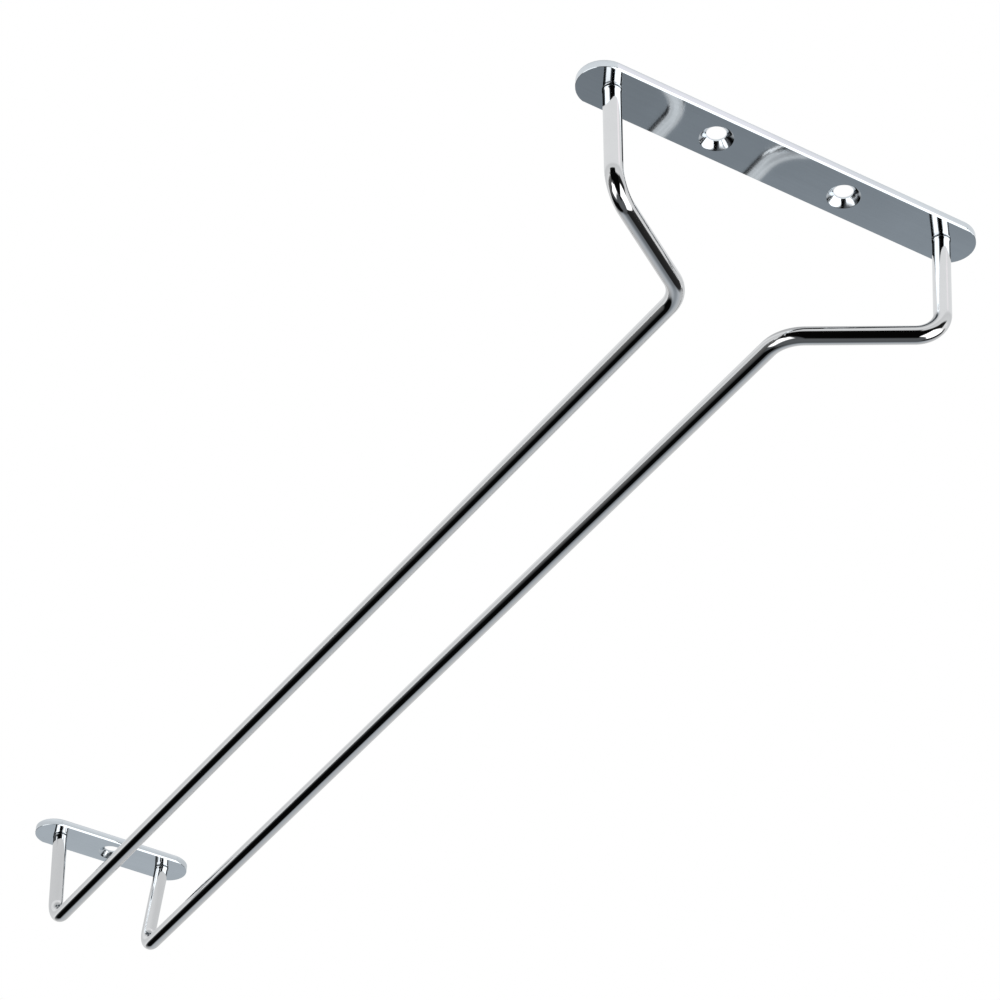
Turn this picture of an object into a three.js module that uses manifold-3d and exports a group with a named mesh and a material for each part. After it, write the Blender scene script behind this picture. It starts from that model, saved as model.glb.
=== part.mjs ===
// Hanging wine glass rack for the underside of a shelf: two flat mounting bars and a
// pair of bent wires. The feet of the glasses slide along the wires, bowls hanging down.
// Millimetres, +Z up. The origin is the middle of the front bar's top face, the face that
// goes against the shelf. +X runs along the bars, +Y back along the channel.
import * as THREE from "three";
import { mergeVertices } from "three/addons/utils/BufferGeometryUtils.js";
import Module from "manifold-3d";

const wasm = await Module();
wasm.setup();

// Mounting bars
const bar_width = 15;
const bar_thickness = 2.5;
const bar_edge_break = 0.4;
const front_bar_length = 124;
const rear_bar_length = 58.2;
const bar_spacing = 421.6;

// Countersunk screw holes, two in the front bar and one in the middle of the rear bar
const screw_hole_diameter = 5.4;
const countersink_diameter = 9;
const countersink_depth = 1.8;
const front_screw_spacing = 40.4;

// Bent wires
const wire_diameter = 5;
const wire_drop = 36.3;
const leg_bend_radius = 7.5;
const mouth_bend_radius = 11.5;
const front_joint_inset = 9.8;
const front_leg_lean_in = 1.4;
const mouth_length = 23.4;
const channel_front_spacing = 31.4;
const channel_rear_spacing = 35;
const rear_joint_inset = 9.1;

const front_joint_spacing = front_bar_length - 2 * front_joint_inset;
const rear_joint_spacing = rear_bar_length - 2 * rear_joint_inset;

// Riveted joints: a turned-down end of the wire passes through the bar and is peened over
const tenon_diameter = 3;
const tenon_root_length = 2;
const rivet_head_diameter = 4.4;
const rivet_head_depth = 0.8;
const rivet_recess = 0.1;
const joint_clearance = 0.3;

// Fineness of the round forms, and how far every cutter runs past what it cuts
const wire_sides = 24;
const bend_steps = 8;
const round_sides = 32;
const edge_break_steps = 2;
const overrun = 1;

const chrome = new THREE.MeshStandardMaterial({
  name: "polished_chrome", color: 0xd3d6d9, roughness: 0.08, metalness: 1,
});
const satin_chrome = new THREE.MeshStandardMaterial({
  name: "plated_bar", color: 0xc4c8cc, roughness: 0.22, metalness: 1,
});

// A closed geometry as a solid that can be joined and cut
function solidOf(geometry) {
  geometry.deleteAttribute("normal");
  geometry.deleteAttribute("uv");
  const merged = mergeVertices(geometry);
  return new wasm.Manifold(new wasm.Mesh({
    numProp: 3,
    vertProperties: merged.attributes.position.array,
    triVerts: Uint32Array.from(merged.index.array),
  }));
}

// A solid back as a geometry for a mesh
function geometryOf(solid) {
  const mesh = solid.getMesh();
  const geometry = new THREE.BufferGeometry();
  geometry.setAttribute("position", new THREE.BufferAttribute(mesh.vertProperties, 3));
  geometry.setIndex(new THREE.BufferAttribute(mesh.triVerts, 1));
  geometry.computeVertexNormals();
  return geometry;
}

// A turned solid on a vertical axis at x, y, from [radius, height] points given upwards
function turned(profile, x, y) {
  const points = profile.map(([radius, height]) => new THREE.Vector2(radius, height));
  const geometry = new THREE.LatheGeometry(points, round_sides);
  geometry.rotateX(Math.PI / 2);
  geometry.translate(x, y, 0);
  return solidOf(geometry);
}

// A wire's centre line: straight runs between corners, joined by round bends of the radii
// given. Its parameter goes from station to station, one step along a run and several
// round a bend.
class BentWire extends THREE.Curve {
  constructor(corners, bend_radii) {
    super();
    const last = corners.length - 1;
    const heading = (i) => corners[i + 1].clone().sub(corners[i]).normalize();
    this.stations = [{ point: corners[0], tangent: heading(0) }];
    for (let i = 1; i < last; i += 1) {
      const radius = bend_radii[i - 1];
      const before = heading(i - 1);
      const after = heading(i);
      const turn = before.angleTo(after);
      const start = corners[i].clone().addScaledVector(before, -radius * Math.tan(turn / 2));
      const inward = after.clone().addScaledVector(before, -Math.cos(turn)).normalize();
      for (let step = 0; step <= bend_steps; step += 1) {
        const angle = (turn * step) / bend_steps;
        const point = start.clone().addScaledVector(before, radius * Math.sin(angle))
          .addScaledVector(inward, radius * (1 - Math.cos(angle)));
        const tangent = before.clone().multiplyScalar(Math.cos(angle))
          .addScaledVector(inward, Math.sin(angle));
        this.stations.push({ point, tangent });
      }
    }
    this.stations.push({ point: corners[last], tangent: heading(last - 1) });
  }

  get steps() {
    return this.stations.length - 1;
  }

  station(u) {
    return this.stations[Math.round(u * this.steps)];
  }

  getPointAt(u, target = new THREE.Vector3()) {
    return target.copy(this.station(u).point);
  }

  getTangentAt(u, target = new THREE.Vector3()) {
    return target.copy(this.station(u).tangent);
  }
}

// A flat bar with full round ends and broken edges, its top face at height 0
function barBlank(length) {
  const end_radius = bar_width / 2;
  const end_centre = length / 2 - end_radius;
  const outline = new THREE.Shape();
  outline.absarc(end_centre, 0, end_radius, -Math.PI / 2, Math.PI / 2, false);
  outline.absarc(-end_centre, 0, end_radius, Math.PI / 2, (3 * Math.PI) / 2, false);
  const geometry = new THREE.ExtrudeGeometry(outline, {
    depth: bar_thickness - 2 * bar_edge_break,
    curveSegments: round_sides / 4,
    bevelThickness: bar_edge_break,
    bevelSize: bar_edge_break,
    bevelOffset: -bar_edge_break,
    bevelSegments: edge_break_steps,
  });
  geometry.translate(0, 0, bar_edge_break - bar_thickness);
  return solidOf(geometry);
}

// The cutter for a screw hole, with its countersink open to the bar's underside
function screwHole(x) {
  const hole_radius = screw_hole_diameter / 2;
  const mouth_radius = countersink_diameter / 2;
  const slope = (mouth_radius - hole_radius) / countersink_depth;
  return turned([
    [0, -bar_thickness - overrun],
    [mouth_radius + slope * overrun, -bar_thickness - overrun],
    [hole_radius, countersink_depth - bar_thickness],
    [hole_radius, overrun],
    [0, overrun],
  ], x, 0);
}

// The cutter for a rivet hole, a tenon's hole with a seat for its peened head on top
function rivetHole(x) {
  const hole_radius = tenon_diameter / 2 + joint_clearance;
  const seat_radius = rivet_head_diameter / 2 + joint_clearance;
  return turned([
    [0, -bar_thickness - overrun],
    [hole_radius, -bar_thickness - overrun],
    [hole_radius, -rivet_head_depth],
    [seat_radius, 0],
    [seat_radius, overrun],
    [0, overrun],
  ], x, 0);
}

// A bar with its screw holes at the x places given and a rivet hole at each joint
function bar(name, length, screw_places, joint_spacing) {
  let solid = barBlank(length);
  for (const x of screw_places) solid = solid.subtract(screwHole(x));
  for (const x of [-joint_spacing / 2, joint_spacing / 2]) {
    solid = solid.subtract(rivetHole(x));
  }
  const mesh = new THREE.Mesh(geometryOf(solid), satin_chrome);
  mesh.name = name;
  return mesh;
}

// A tenon that rises from the end of a leg through the bar, its head just below the top
function tenon(x, y) {
  return turned([
    [0, -bar_thickness - joint_clearance - tenon_root_length],
    [tenon_diameter / 2, -bar_thickness - joint_clearance - tenon_root_length],
    [tenon_diameter / 2, -rivet_head_depth - rivet_recess],
    [rivet_head_diameter / 2, -rivet_recess],
    [0, -rivet_recess],
  ], x, y);
}

// One wire, from its front joint down, in to the channel, back, and up to its rear joint.
// side is -1 for the left wire and 1 for the right wire.
function rail(name, side) {
  const underside = -bar_thickness;
  const front_joint = new THREE.Vector3((side * front_joint_spacing) / 2, 0, underside);
  const rear_joint = new THREE.Vector3((side * rear_joint_spacing) / 2, bar_spacing, underside);
  const front_foot = new THREE.Vector3(
    side * (front_joint_spacing / 2 - front_leg_lean_in), 0, -wire_drop);
  const channel_start = new THREE.Vector3(
    (side * channel_front_spacing) / 2, mouth_length, -wire_drop);
  const rear_foot = new THREE.Vector3(
    (side * channel_rear_spacing) / 2, bar_spacing, -wire_drop);
  const past = (joint, foot) => joint.clone().addScaledVector(
    joint.clone().sub(foot).normalize(), overrun);
  const path = new BentWire([
    past(front_joint, front_foot), front_foot, channel_start, rear_foot,
    past(rear_joint, rear_foot),
  ], [leg_bend_radius, mouth_bend_radius, leg_bend_radius]);

  const section = new THREE.Shape();
  section.absarc(0, 0, wire_diameter / 2, 0, 2 * Math.PI, false);
  let solid = solidOf(new THREE.ExtrudeGeometry(section, {
    steps: path.steps, extrudePath: path, curveSegments: wire_sides / 2,
  }));
  for (const joint of [front_joint, rear_joint]) {
    const trim_size = 2 * wire_diameter + 2 * overrun;
    const trim = new THREE.BoxGeometry(trim_size, trim_size, trim_size);
    trim.translate(joint.x, joint.y, underside - joint_clearance + trim_size / 2);
    solid = solid.subtract(solidOf(trim)).add(tenon(joint.x, joint.y));
  }
  const mesh = new THREE.Mesh(geometryOf(solid), chrome);
  mesh.name = name;
  return mesh;
}

const rack = new THREE.Group();
const front_screw_places = [-front_screw_spacing / 2, front_screw_spacing / 2];
const front_plate = bar("front_plate", front_bar_length, front_screw_places, front_joint_spacing);
const rear_plate = bar("rear_plate", rear_bar_length, [0], rear_joint_spacing);
rear_plate.position.y = bar_spacing;
rack.add(front_plate, rear_plate, rail("left_rail", -1), rail("right_rail", 1));

export default rack;
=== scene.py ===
# Hanging wine glass rack for the underside of a shelf, seen from below and in front: two
# flat plated bars and a pair of bent plated wires. Metres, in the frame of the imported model.
import math

import bmesh
import bpy
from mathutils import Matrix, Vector


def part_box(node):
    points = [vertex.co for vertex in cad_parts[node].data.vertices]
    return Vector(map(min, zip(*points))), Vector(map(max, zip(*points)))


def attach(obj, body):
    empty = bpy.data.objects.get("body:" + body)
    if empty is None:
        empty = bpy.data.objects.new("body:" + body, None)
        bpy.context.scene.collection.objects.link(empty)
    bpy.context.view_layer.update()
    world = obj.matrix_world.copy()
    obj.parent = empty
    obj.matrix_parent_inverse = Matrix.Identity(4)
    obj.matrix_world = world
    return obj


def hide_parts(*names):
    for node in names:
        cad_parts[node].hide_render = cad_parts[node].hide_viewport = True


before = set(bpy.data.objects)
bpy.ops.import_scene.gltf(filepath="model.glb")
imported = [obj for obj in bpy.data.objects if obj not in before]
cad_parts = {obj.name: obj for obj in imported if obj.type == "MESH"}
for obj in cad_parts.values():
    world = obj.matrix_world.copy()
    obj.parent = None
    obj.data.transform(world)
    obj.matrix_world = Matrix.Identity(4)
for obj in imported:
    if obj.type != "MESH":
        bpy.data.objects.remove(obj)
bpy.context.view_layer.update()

scene = bpy.context.scene

# The camera stands below the rack, in front of it and to its left, and looks up along the
# wires with a long lens, about 0.8 m from the front bar. Lens and sensor are in millimetres.
camera_place = (-0.33611, -0.47002, -0.55397)
camera_turn = [math.radians(degrees) for degrees in (127.367, -2.2715, -30.4287)]
sensor_width = 36
focal_length = 108.557
nearest, farthest = 0.05, 40

camera = bpy.data.objects.new("camera", bpy.data.cameras.new("camera"))
camera.location = camera_place
camera.rotation_euler = camera_turn
camera.data.sensor_width = sensor_width
camera.data.lens = focal_length
camera.data.clip_start = nearest
camera.data.clip_end = farthest
scene.collection.objects.link(camera)
scene.camera = camera
scene.view_settings.view_transform = "Standard"


# The studio round the rack. The room is white, and the camera and the metal see it so. Its
# light on the object is plain, and the floor is a pale sheet far below, which fades into
# the white of the room.
class Signal:
    """One output of a shader node. Arithmetic on signals adds Math nodes."""

    def __init__(self, tree, socket=None):
        self.tree, self.socket = tree, socket

    def node(self, kind, sockets=None, output=0, **settings):
        """A node of any kind, with its settings and its sockets' values or links."""
        made = self.tree.nodes.new("ShaderNode" + kind)
        for name, value in settings.items():
            setattr(made, name, value)
        for name, value in (sockets or {}).items():
            if isinstance(value, Signal):
                self.tree.links.new(value.socket, made.inputs[name])
            else:
                made.inputs[name].default_value = value
        return Signal(self.tree, made.outputs[output] if made.outputs else None)

    def maths(self, operation, first, second):
        return self.node("Math", {0: first, 1: second}, operation=operation)

    def __add__(self, other):
        return self.maths("ADD", self, other)

    def __mul__(self, other):
        return self.maths("MULTIPLY", self, other)

    __radd__ = __add__
    __rmul__ = __mul__

    def eased(self, start, end):
        """0 below start, 1 above end, and a soft step between them."""
        return self.node("MapRange", {"Value": self, "From Min": start, "From Max": end},
                         interpolation_type="SMOOTHSTEP")

    def mixed(self, low, high):
        """The colour low where this is 0, and high where it is 1."""
        factor, low_colour, high_colour, mixed_colour = 0, 6, 7, 2
        return self.node("Mix", {factor: self, low_colour: (*low, 1), high_colour: (*high, 1)},
                         output=mixed_colour, data_type="RGBA")


def emptied(owner):
    """A start for an owner's shader tree, with the default nodes cleared away."""
    owner.use_nodes = True
    owner.node_tree.nodes.clear()
    return Signal(owner.node_tree)


def seen_directly(start):
    """1 for what the camera sees, directly or mirrored in the metal, and 0 for plain light."""
    to_camera, mirrored, through = (
        start.node("LightPath", output=ray)
        for ray in ("Is Camera Ray", "Is Glossy Ray", "Is Transmission Ray"))
    return start.maths("MAXIMUM", to_camera, start.maths("MAXIMUM", mirrored, through))


def standing(name, bm, *materials):
    """The mesh in bm as an object in the scene."""
    mesh = bpy.data.meshes.new(name)
    bm.to_mesh(mesh)
    bm.free()
    for material in materials:
        mesh.materials.append(material)
    made = bpy.data.objects.new(name, mesh)
    scene.collection.objects.link(made)
    return made


white = (1, 1, 1)
room_light = 0.85
world = bpy.data.worlds.new("white_room")
scene.world = world
start = emptied(world)
strength = room_light + (1 - room_light) * seen_directly(start)
start.node("OutputWorld", {"Surface": start.node(
    "Background", {"Color": (*white, 1), "Strength": strength})})

floor_height = -1.5
floor_radius = 12
floor_sides = 96
floor_fade = (1.5, 7)
floor_colour = (0.93, 0.93, 0.93)
bm = bmesh.new()
bmesh.ops.create_circle(bm, cap_ends=True, segments=floor_sides, radius=floor_radius)
bmesh.ops.translate(bm, verts=bm.verts, vec=(0, 0, floor_height))
floor_material = bpy.data.materials.new("pale_floor")
start = emptied(floor_material)
place = start.node("TexCoord", output="Object")
away = start.node("VectorMath", {0: place}, output="Value", operation="LENGTH")
far = away.eased(*floor_fade) * seen_directly(start)
sheet = start.node("BsdfDiffuse", {"Color": (*floor_colour, 1)})
glow = start.node("Emission", {"Color": (*white, 1)})
start.node("OutputMaterial", {"Surface": start.node("MixShader", {0: far, 1: sheet, 2: glow})})
floor = standing("floor", bm, floor_material)
floor.visible_glossy = False

lamp_size = 0.5
lamp_power = 22
lamp_place = Vector((-0.5, -0.4, 2))
lamp_aim = Vector((0, 0.2, 0))
lamp = bpy.data.objects.new("overhead_softbox", bpy.data.lights.new("overhead_softbox", "AREA"))
lamp.data.shape = "DISK"
lamp.data.size = lamp_size
lamp.data.energy = lamp_power
lamp.location = lamp_place
lamp.rotation_euler = (lamp_place - lamp_aim).to_track_quat("Z", "Y").to_euler()
lamp.visible_glossy = False
scene.collection.objects.link(lamp)

# What stands in the room for the chrome to show: white soft boxes, black flags, a grey
# scrim overhead and a backdrop that darkens downwards. Each is a curved panel that faces
# the rack, with feathered edges. Only reflections see them, and they give no plain light.
studio_centre = Vector((0, 0.15, -0.02))
panel_distance = 6
panel_spacing = 0.05
# The rest of the panels' sizes are in degrees, as seen from the middle of the studio.
panel_grid = 2
nadir, zenith = -90, 90
full_turn = 360
panel_marks = ("side_edge", "end_edge", "lift")


def direction(azimuth, elevation):
    """Azimuth from +Y towards +X and elevation above the horizon, both in degrees."""
    around, up = math.radians(azimuth), math.radians(elevation)
    return Vector((math.sin(around) * math.cos(up), math.cos(around) * math.cos(up), math.sin(up)))


def panel_mesh(foot_span, head_span, elevations, feathers, distance):
    """A panel whose bottom and top edges each span two azimuths, at the two elevations. Its
    vertices keep how far they are into the feathers of its sides and ends, and how high."""
    bottom, top = elevations
    side_feather, foot_feather, head_feather = feathers
    width = max(east - west for west, east in (foot_span, head_span))
    across, upward = round(width / panel_grid), round((top - bottom) / panel_grid)
    bm = bmesh.new()
    side_edge, end_edge, lift = (bm.verts.layers.float.new(mark) for mark in panel_marks)
    rows = []
    for j in range(upward + 1):
        up = j / upward
        elevation = bottom + (top - bottom) * up
        west, east = (a + (b - a) * up for a, b in zip(foot_span, head_span))
        foot = (elevation - bottom) / foot_feather if bottom > nadir else 1
        head = (top - elevation) / head_feather if top < zenith else 1
        row = []
        for i in range(across + 1):
            azimuth = west + (east - west) * i / across
            inside = min(azimuth - west, east - azimuth) if width < full_turn else side_feather
            vert = bm.verts.new(studio_centre + distance * direction(azimuth, elevation))
            vert[side_edge] = min(1, inside / side_feather)
            vert[end_edge] = min(1, foot, head)
            vert[lift] = up
            row.append(vert)
        rows.append(row)
    for below, above in zip(rows, rows[1:]):
        for i in range(across):
            bm.faces.new((below[i], below[i + 1], above[i + 1], above[i]))
    return bm


def panel_glow(name, low, high):
    """A panel's own colour, from low at its bottom to high at its top, clear at its edges."""
    made = bpy.data.materials.new(name)
    start = emptied(made)
    sides, ends, lift = (start.node("Attribute", output="Fac", attribute_name=mark)
                         for mark in panel_marks)
    cover = sides.eased(0, 1) * ends.eased(0, 1)
    glow = start.node("Emission", {"Color": lift.mixed(low, high)})
    gone = start.node("BsdfTransparent")
    start.node("OutputMaterial", {"Surface": start.node(
        "MixShader", {0: cover, 1: gone, 2: glow})})
    return made


def grey(level, coolness=0.0):
    """A grey of this level, with less red and more blue in it by the share coolness."""
    return (level * (1 - coolness), level, level * (1 + coolness))


box_white = grey(1.7)
flag_black = grey(0.002)
near_side_tint = (1.0, 0.95, 0.98)
all_round = (0, full_turn)
panels = [
    # name, azimuths of the bottom and of the top edge, elevations of the two edges,
    # feathers at the sides, bottom and top, colours at the bottom and top
    ("grey_scrim", all_round, all_round, (-1, zenith), (10, 12, 12),
     grey(0.78, 0.01), grey(0.44, 0.02)),
    ("bright_band", all_round, all_round, (30, 64), (10, 9, 18),
     grey(0.82, 0.01), grey(0.82, 0.01)),
    ("near_glow", (136, 164), (136, 164), (36, 54), (10, 7, 7), near_side_tint, near_side_tint),
    ("dark_floor_card", all_round, all_round, (nadir, 5), (10, 12, 10),
     grey(0.12, 0.06), grey(0.05, 0.06)),
    ("backdrop", (-26, 112), (-26, 112), (-57, 16), (42, 25, 10),
     grey(0.39, 0.13), grey(0.66, -0.02)),
    ("left_wall", (-128, -38), (-128, -38), (-38, 8), (8, 10, 14), grey(0.06), grey(0.17)),
    ("left_flag", (-190, -150), (-206, -82), (-82, 13), (16, 16, 8), flag_black, flag_black),
    ("left_flag_top", (-162, -96), (-158, -103), (-20, 23), (4, 8, 4), flag_black, flag_black),
    ("middle_flag", (-46, 30), (-46, -14), (-68, -3), (12, 8, 12), flag_black, flag_black),
    ("right_strip", (55, 110), (86, 120), (-62, -1), (10, 9, 9), grey(0.012), grey(0.03)),
    ("right_card", (110, 141), (104, 142), (-16, 13), (7, 7, 7), grey(0.84), grey(0.84)),
    ("right_gap", (140, 192), (131, 174), (-14, 17), (8, 6, 8), grey(0.01), grey(0.01)),
    ("left_softbox", (-129, -53), (-119, -60), (-62, -26), (8, 15, 5), box_white, box_white),
    ("left_softbox_top", (-119, -72), (-101, -88), (-40, -17), (5, 5, 5), box_white, box_white),
    ("right_softbox", (99, 190), (107, 177), (-60, -8), (5, 5, 6), box_white, box_white),
]
for order, (name, foot_span, head_span, elevations, feathers, low, high) in enumerate(panels):
    distance = panel_distance - panel_spacing * order
    bm = panel_mesh(foot_span, head_span, elevations, feathers, distance)
    card = standing(name, bm, panel_glow(name, low, high))
    card.visible_camera = card.visible_diffuse = card.visible_shadow = False

# The front bar: drawn steel flat with round ends, drilled and countersunk for two screws,
# linished along its length and chrome plated. Each end takes the riveted end of a wire.
mm = 0.001
front_low, front_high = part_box("front_plate")
front_length, bar_width, bar_thickness = front_high - front_low
front_joint_inset = 9.8 * mm
front_joints = front_length - 2 * front_joint_inset
front_screws = 40.4 * mm
screw_hole = 5.4 * mm
countersink = 9 * mm
countersink_depth = 1.8 * mm
hole_edge = 0.1 * mm
rivet_hole = 3.6 * mm
rivet_seat = 5 * mm
seat_depth = 0.8 * mm
# The top edges are rounded over. The stock's long edges carry a narrow bevel below, slightly
# crowned by the polishing belt. The round ends, cut after it, have only a small edge break.
top_edge = 0.3 * mm
top_edge_angles = [math.radians(degrees) for degrees in (90, 75, 60, 45, 30, 15, 0)]
bevel = 0.4 * mm
bevel_angles = [math.radians(degrees) for degrees in (35, 38, 41, 44, 46)]
end_break = 0.08 * mm
end_steps = 96
round_steps = 64
# An edge that turns by more than this stays sharp.
bar_corner = math.radians(20)
bar_colour = (0.78, 0.83, 0.87)
# What the plating's duller patches keep of its brightness.
bar_dull_share = 0.93


def circle(x, y, radius, height):
    return [Vector((x + radius * math.cos(a), y + radius * math.sin(a), height))
            for a in (2 * math.pi * k / round_steps for k in range(round_steps))]


def bar_outline(length, y, inset, end_inset, height):
    """The outline of a bar with round ends, its long edges and its ends drawn in apart."""
    radius = bar_width / 2 - end_inset
    half_width = bar_width / 2 - inset
    centre = (length - bar_width) / 2
    turns = [-math.pi / 2 + math.pi * k / end_steps for k in range(end_steps + 1)]
    return [Vector((side * (centre + radius * math.cos(a)),
                    y + side * max(-half_width, min(half_width, radius * math.sin(a))), height))
            for side in (1, -1) for a in turns]


def ring(bm, points):
    return [bm.verts.new(point) for point in points]


def skin(bm, rings):
    """Faces between each ring of vertices and the next."""
    made = []
    for one, other in zip(rings, rings[1:]):
        for k in range(len(one)):
            after = (k + 1) % len(one)
            made.append(bm.faces.new((one[k], one[after], other[after], other[k])))
            made[-1].smooth = True
    return made


def filled(bm, outlines):
    """A flat face inside the first outline and round the others."""
    edges = [bm.edges.get((outline[k - 1], outline[k]))
             for outline in outlines for k in range(len(outline))]
    for part in bmesh.ops.triangle_fill(bm, use_beauty=True, edges=edges)["geom"]:
        if isinstance(part, bmesh.types.BMFace):
            part.smooth = False


def bar_mesh(length, y, screws, joints):
    """A bar with screw holes and rivet holes at the x places given. The walls of the screw
    holes have the second material."""
    bm = bmesh.new()
    # Down the bar's side: how far its long edges and its ends are drawn in, and the height.
    side = [(top_edge * (1 - math.cos(a)), top_edge * (1 - math.cos(a)),
             -top_edge * (1 - math.sin(a))) for a in top_edge_angles]
    first, last = bevel_angles[0], bevel_angles[-1]
    crown_radius = bevel / (math.cos(first) - math.cos(last))
    side += [(crown_radius * (math.cos(first) - math.cos(a)), end_break if a == last else 0,
              crown_radius * (math.sin(last) - math.sin(a)) - bar_thickness)
             for a in bevel_angles]
    rim = [ring(bm, bar_outline(length, y, *place)) for place in side]
    skin(bm, rim)
    tops, undersides = [rim[0]], [rim[-1]]
    slope = (countersink - screw_hole) / 2 / countersink_depth
    shoulder = countersink_depth - bar_thickness
    for x in screws:
        # Up the hole's wall from the underside: its radius and height, with broken corners.
        bore = [(countersink / 2 + hole_edge, -bar_thickness),
                (countersink / 2 - slope * hole_edge, hole_edge - bar_thickness),
                (screw_hole / 2 + slope * hole_edge, shoulder - hole_edge),
                (screw_hole / 2, shoulder),
                (screw_hole / 2, -hole_edge),
                (screw_hole / 2 + hole_edge, 0)]
        rings = [ring(bm, circle(x, y, *place)) for place in bore]
        for face in skin(bm, rings):
            face.material_index = 1
        undersides.append(rings[0])
        tops.append(rings[-1])
    for x in joints:
        bore = [(rivet_hole / 2, -bar_thickness), (rivet_hole / 2, -seat_depth), (rivet_seat / 2, 0)]
        rings = [ring(bm, circle(x, y, *place)) for place in bore]
        skin(bm, rings)
        undersides.append(rings[0])
        tops.append(rings[-1])
    filled(bm, tops)
    filled(bm, undersides)
    bmesh.ops.recalc_face_normals(bm, faces=bm.faces)
    return bm


def dimmed(colour, share):
    return tuple(share * level for level in colour)


def bar_finish():
    """Bright chrome over fine linishing lines that run along the bar."""
    lines_per_metre, line_detail, line_raggedness = (40, 2600, 2600), 4, 0.6
    clouds_per_metre, cloud_detail = 55, 4
    line_depth, line_strength = 0.02 * mm, 0.05
    cloud_share, line_share = 0.6, 0.4
    dull_start, dull_end = 0.35, 0.65
    roughness, line_roughness, cloud_roughness = 0.035, 0.03, 0.02
    made = bpy.data.materials.new("plated_bar")
    start = emptied(made)
    place = start.node("TexCoord", output="Object")
    stretched = start.node("VectorMath", {0: place, 1: lines_per_metre}, operation="MULTIPLY")
    lines = start.node("TexNoise", {"Vector": stretched, "Scale": 1, "Detail": line_detail,
                                    "Roughness": line_raggedness})
    clouds = start.node("TexNoise", {"Vector": place, "Scale": clouds_per_metre,
                                     "Detail": cloud_detail})
    bump = start.node("Bump", {"Height": lines, "Strength": line_strength, "Distance": line_depth})
    dull = (cloud_share * clouds + line_share * lines).eased(dull_start, dull_end)
    metal = start.node("BsdfPrincipled", {
        "Base Color": dull.mixed(bar_colour, dimmed(bar_colour, bar_dull_share)), "Metallic": 1,
        "Roughness": roughness + line_roughness * lines + cloud_roughness * clouds,
        "Normal": bump})
    start.node("OutputMaterial", {"Surface": metal})
    return made


def hole_finish():
    """The plated wall of a drilled and countersunk hole, with the cutter's fine rings."""
    rings_per_metre, ring_detail = (500, 500, 9000), 3
    clouds_per_metre, cloud_detail = 700, 2
    ring_depth, ring_strength = 0.04 * mm, 0.12
    dull_start, dull_end = 0.3, 0.7
    roughness, ring_roughness = 0.08, 0.08
    made = bpy.data.materials.new("plated_hole")
    start = emptied(made)
    place = start.node("TexCoord", output="Object")
    stretched = start.node("VectorMath", {0: place, 1: rings_per_metre}, operation="MULTIPLY")
    rings = start.node("TexNoise", {"Vector": stretched, "Scale": 1, "Detail": ring_detail})
    clouds = start.node("TexNoise", {"Vector": place, "Scale": clouds_per_metre,
                                     "Detail": cloud_detail})
    bump = start.node("Bump", {"Height": rings + clouds, "Strength": ring_strength,
                               "Distance": ring_depth})
    dull = clouds.eased(dull_start, dull_end)
    metal = start.node("BsdfPrincipled", {
        "Base Color": dull.mixed(bar_colour, dimmed(bar_colour, bar_dull_share)), "Metallic": 1,
        "Roughness": roughness + ring_roughness * rings, "Normal": bump})
    start.node("OutputMaterial", {"Surface": metal})
    return made


plated_bar, plated_hole = bar_finish(), hole_finish()
front_bar = standing("front_bar", bar_mesh(
    front_length, 0, (-front_screws / 2, front_screws / 2),
    (-front_joints / 2, front_joints / 2)), plated_bar, plated_hole)
front_bar.data.set_sharp_from_angle(angle=bar_corner)
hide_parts("front_plate")
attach(front_bar, "root")

# The rear bar: a short length of the same plated steel flat, with one countersunk screw hole
# in its middle. Each end takes the riveted rear leg of a wire.
rear_low, rear_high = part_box("rear_plate")
rear_length = rear_high.x - rear_low.x
bar_spacing = (rear_low.y + rear_high.y) / 2
rear_joint_inset = 9.1 * mm
rear_joints = rear_length - 2 * rear_joint_inset
rear_bar = standing("rear_bar", bar_mesh(
    rear_length, bar_spacing, (0,), (-rear_joints / 2, rear_joints / 2)), plated_bar, plated_hole)
rear_bar.data.set_sharp_from_angle(angle=bar_corner)
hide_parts("rear_plate")
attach(rear_bar, "root")

# The two wires: 5 mm steel wire, bent cold at the foot of each leg and at the mouth, then
# chrome plated. Each leg's end is turned down, goes up through its bar, and is peened over
# in a seat on top.
wire_diameter = 5 * mm
wire_drop = 36.3 * mm
leg_bend = 7.5 * mm
mouth_bend = 11.5 * mm
front_lean = 1.4 * mm
mouth_length = 23.4 * mm
channel_front = 31.4 * mm
channel_rear = 35 * mm
joint_gap = 0.16 * mm
tenon = 3 * mm
rivet_head = 4.7 * mm
rivet_depth = 0.8 * mm
rivet_crown = 0.12 * mm
# The peened head from its rim inwards: how far out, in shares of its radius, and how far
# below the bar's top face, in shares of its crown.
rivet_dome = [(1, 1.6), (0.93, 1), (0.6, 0.5), (0.2, 0.3)]
# The leg's end is upset a little by the riveting: how far below the end, and how much wider.
leg_flare = [(1.3 * mm, 0), (0.9 * mm, 0.03 * mm), (0.5 * mm, 0.09 * mm), (0.25 * mm, 0.12 * mm),
             (0.1 * mm, 0.1 * mm), (0.02 * mm, 0.04 * mm), (0, -0.04 * mm)]
wire_sides = 48
wire_radius = wire_diameter / 2
wire_angles = [2 * math.pi * k / wire_sides for k in range(wire_sides)]
bend_steps = 24
run_step = 12 * mm
wire_corner = math.radians(40)
wire_colour = (0.83, 0.835, 0.84)
wire_dull_share = 0.98


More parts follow.
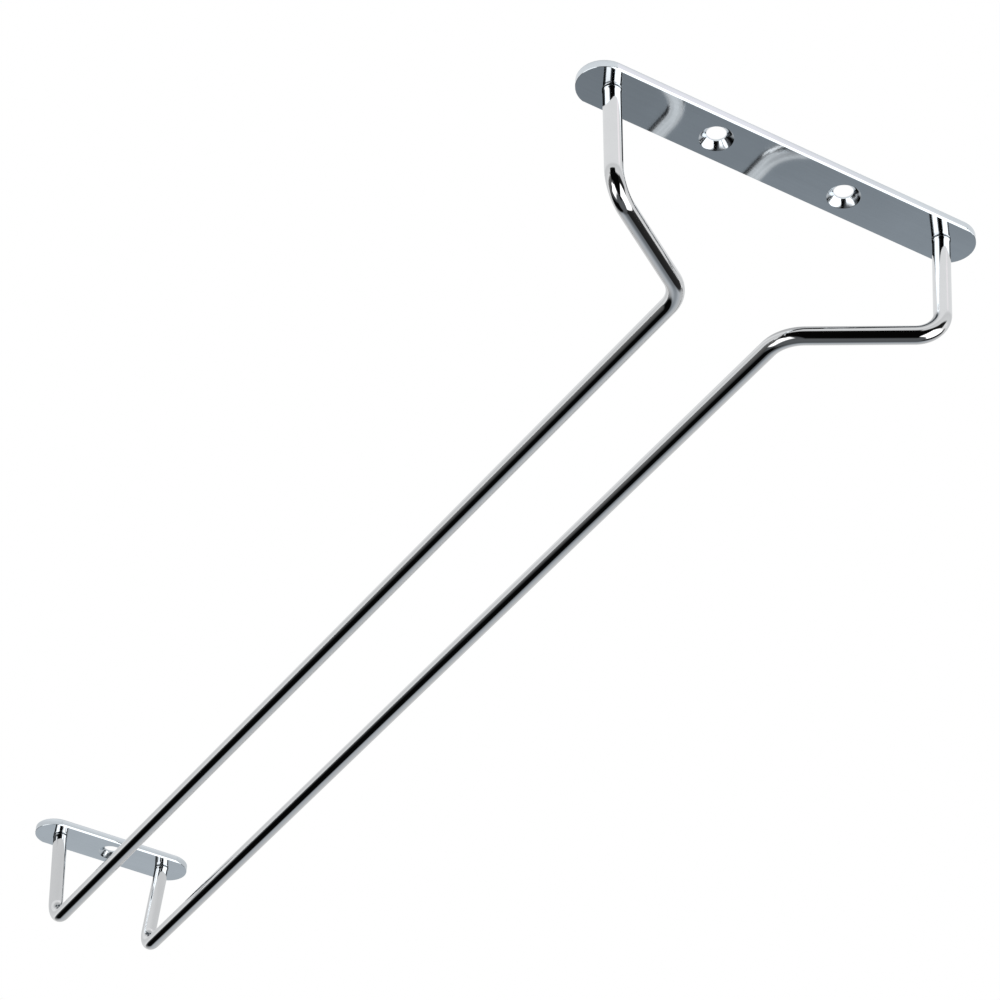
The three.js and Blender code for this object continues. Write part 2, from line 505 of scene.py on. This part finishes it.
def centre_line(corners, radii):
    """Places and headings along straight runs that are joined by round bends."""
    headings = [(b - a).normalized() for a, b in zip(corners, corners[1:])]
    places, here = [], corners[0]
    for corner, radius, before, after in zip(corners[1:], radii, headings, headings[1:]):
        turn = before.angle(after)
        bend_start = corner - before * radius * math.tan(turn / 2)
        inward = (after - before * math.cos(turn)).normalized()
        steps = max(1, round((bend_start - here).length / run_step))
        places += [(here.lerp(bend_start, k / steps), before) for k in range(steps)]
        bend = [(bend_start + radius * (before * math.sin(a) + inward * (1 - math.cos(a))),
                 before * math.cos(a) + inward * math.sin(a))
                for a in (turn * k / bend_steps for k in range(bend_steps + 1))]
        here, _ = bend.pop()
        places += bend
    steps = max(1, round((corners[-1] - here).length / run_step))
    return places + [(here.lerp(corners[-1], k / steps), headings[-1]) for k in range(steps + 1)]


def tenon_rings(points, joint):
    """Rings from the leg's flat end up through the bar to the peened head."""
    angles = [math.atan2(p.y - joint.y, p.x - joint.x) for p in points]
    shape = [(tenon / 2, -bar_thickness - joint_gap), (tenon / 2, -rivet_depth - rivet_crown)]
    shape += [(rivet_head / 2 * out, -rivet_crown * down) for out, down in rivet_dome]
    return [[Vector((joint.x + r * math.cos(a), joint.y + r * math.sin(a), z)) for a in angles]
            for r, z in shape]


def leg_end(section, heading, joint):
    """What a leg's last section becomes: rings over the leg's flare and up its tenon."""
    points, along = section
    rows = []
    for below, wider in leg_flare:
        height = -bar_thickness - joint_gap - below
        slid = [p + heading * ((height - p.z) / heading.z) for p in points]
        middle = sum(slid, Vector()) / len(slid)
        rows.append([middle + (p - middle) * (1 + wider / wire_radius) for p in slid])
    return [(row, along) for row in rows + tenon_rings(points, joint)]


def wire_sections(line):
    """A round section at each place on the line, kept from twisting, and its distance along."""
    across = Vector((1, 0, 0))
    sections, along, last_place = [], 0, line[0][0]
    for place, heading in line:
        across = (across - heading * across.dot(heading)).normalized()
        other = heading.cross(across)
        along += (place - last_place).length
        last_place = place
        points = [place + across * wire_radius * math.cos(a) + other * wire_radius * math.sin(a)
                  for a in wire_angles]
        sections.append((points, along))
    return sections


def wire_mesh(side):
    """The wire on one side, -1 for the left and 1 for the right, from its front joint to its
    rear joint. Its vertices keep their places on the straight wire, for the drawing lines."""
    front_joint = Vector((side * front_joints / 2, 0, -bar_thickness))
    front_foot = Vector((side * (front_joints / 2 - front_lean), 0, -wire_drop))
    channel = Vector((side * channel_front / 2, mouth_length, -wire_drop))
    rear_foot = Vector((side * channel_rear / 2, bar_spacing, -wire_drop))
    rear_joint = Vector((side * rear_joints / 2, bar_spacing, -bar_thickness))
    line = centre_line([front_joint, front_foot, channel, rear_foot, rear_joint],
                       [leg_bend, mouth_bend, leg_bend])
    sections = wire_sections(line)
    front_end = leg_end(sections[0], line[0][1], front_joint)
    rear_end = leg_end(sections[-1], line[-1][1], rear_joint)
    bm = bmesh.new()
    straight = bm.verts.layers.float_vector.new("before_bending")
    rings = []
    for points, along in front_end[::-1] + sections[1:-1] + rear_end:
        made = ring(bm, points)
        for vert, a in zip(made, wire_angles):
            vert[straight] = (along, wire_radius * math.cos(a), wire_radius * math.sin(a))
        rings.append(made)
    skin(bm, rings)
    for end in (rings[0], rings[-1]):
        bm.faces.new(end).smooth = True
    bmesh.ops.recalc_face_normals(bm, faces=bm.faces)
    return bm


def wire_finish():
    """Bright chrome over drawn wire: near a mirror, with faint lines along the wire."""
    lines_per_metre, line_detail = (30, 2200, 2200), 3
    clouds_per_metre, cloud_detail = 220, 3
    line_depth, line_strength = 0.01 * mm, 0.03
    dull_start, dull_end = 0.3, 0.7
    roughness, line_roughness, cloud_roughness = 0.025, 0.02, 0.03
    made = bpy.data.materials.new("plated_wire")
    start = emptied(made)
    place = start.node("Attribute", output="Vector", attribute_name="before_bending")
    stretched = start.node("VectorMath", {0: place, 1: lines_per_metre}, operation="MULTIPLY")
    lines = start.node("TexNoise", {"Vector": stretched, "Scale": 1, "Detail": line_detail})
    clouds = start.node("TexNoise", {"Vector": place, "Scale": clouds_per_metre,
                                     "Detail": cloud_detail})
    bump = start.node("Bump", {"Height": lines, "Strength": line_strength, "Distance": line_depth})
    dull = clouds.eased(dull_start, dull_end)
    metal = start.node("BsdfPrincipled", {
        "Base Color": dull.mixed(wire_colour, dimmed(wire_colour, wire_dull_share)), "Metallic": 1,
        "Roughness": roughness + line_roughness * lines + cloud_roughness * clouds,
        "Normal": bump})
    start.node("OutputMaterial", {"Surface": metal})
    return made


plated_wire = wire_finish()
for name, node, side in (("left_wire", "left_rail", -1), ("right_wire", "right_rail", 1)):
    wire = standing(name, wire_mesh(side), plated_wire)
    wire.data.set_sharp_from_angle(angle=wire_corner)
    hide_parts(node)
    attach(wire, "root")
